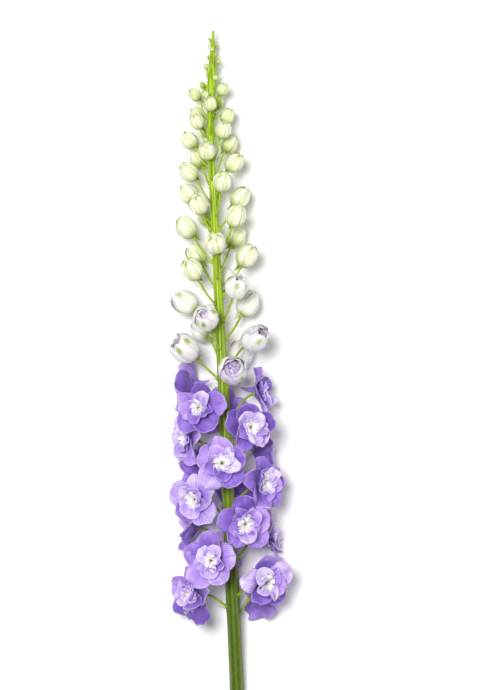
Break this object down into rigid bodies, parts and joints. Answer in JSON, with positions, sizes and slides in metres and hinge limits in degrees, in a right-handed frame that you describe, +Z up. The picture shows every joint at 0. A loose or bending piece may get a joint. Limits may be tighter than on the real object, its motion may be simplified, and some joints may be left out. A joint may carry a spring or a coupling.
{
  "type": "flower spike",
  "caption": "Cut delphinium flower spike lying flat: a tapering stem with open florets and their pale bees low down, half-open flowers above them and closed buds up to the tip.",
  "frame": {"origin": "middle of the footprint, on the surface the spike lies on", "axes": "+Y along the stem from its cut end to its tip, +Z up from the surface, +X to the right when looked down on with the tip at the top"},
  "size_m": [0.102, 0.621, 0.0896],
  "materials": {
    "stem": "satin",
    "sepal": "matte",
    "pale_sepal": "matte",
    "bud": "matte",
    "bee": "matte"
  },
  "bodies": {
    "root": {"stem": "stem", "floret_01": "sepal", "floret_02": "sepal", "floret_03": "sepal", "floret_04": "sepal", "floret_05": "sepal", "floret_06": "sepal", "floret_07": "sepal", "floret_08": "sepal", "floret_09": "sepal", "floret_10": "sepal", "floret_11": "sepal", "floret_12": "sepal", "floret_13": "sepal", "floret_14": "sepal", "floret_15": "sepal", "floret_16": "sepal", "floret_17": "sepal", "floret_18": "sepal", "floret_19": "sepal", "floret_20": "sepal", "half_open_01": "pale_sepal", "half_open_02": "pale_sepal", "half_open_03": "pale_sepal", "half_open_04": "pale_sepal", "half_open_05": "pale_sepal", "half_open_06": "pale_sepal", "half_open_07": "pale_sepal", "half_open_08": "pale_sepal", "half_open_09": "pale_sepal", "half_open_10": "pale_sepal", "bud_01": "bud", "bud_02": "bud", "bud_03": "bud", "bud_04": "bud", "bud_05": "bud", "bud_06": "bud", "bud_07": "bud", "bud_08": "bud", "bud_09": "bud", "bud_10": "bud", "bud_11": "bud", "bud_12": "bud", "bud_13": "bud", "bud_14": "bud", "bud_15": "bud", "bud_16": "bud", "bud_17": "bud", "bud_18": "bud", "bud_19": "bud", "bud_20": "bud", "bud_21": "bud", "bud_22": "bud", "bud_23": "bud", "bud_24": "bud", "bud_25": "bud", "bud_26": "bud", "bud_27": "bud", "bud_28": "bud", "bud_29": "bud"}
  },
  "joints": []
}
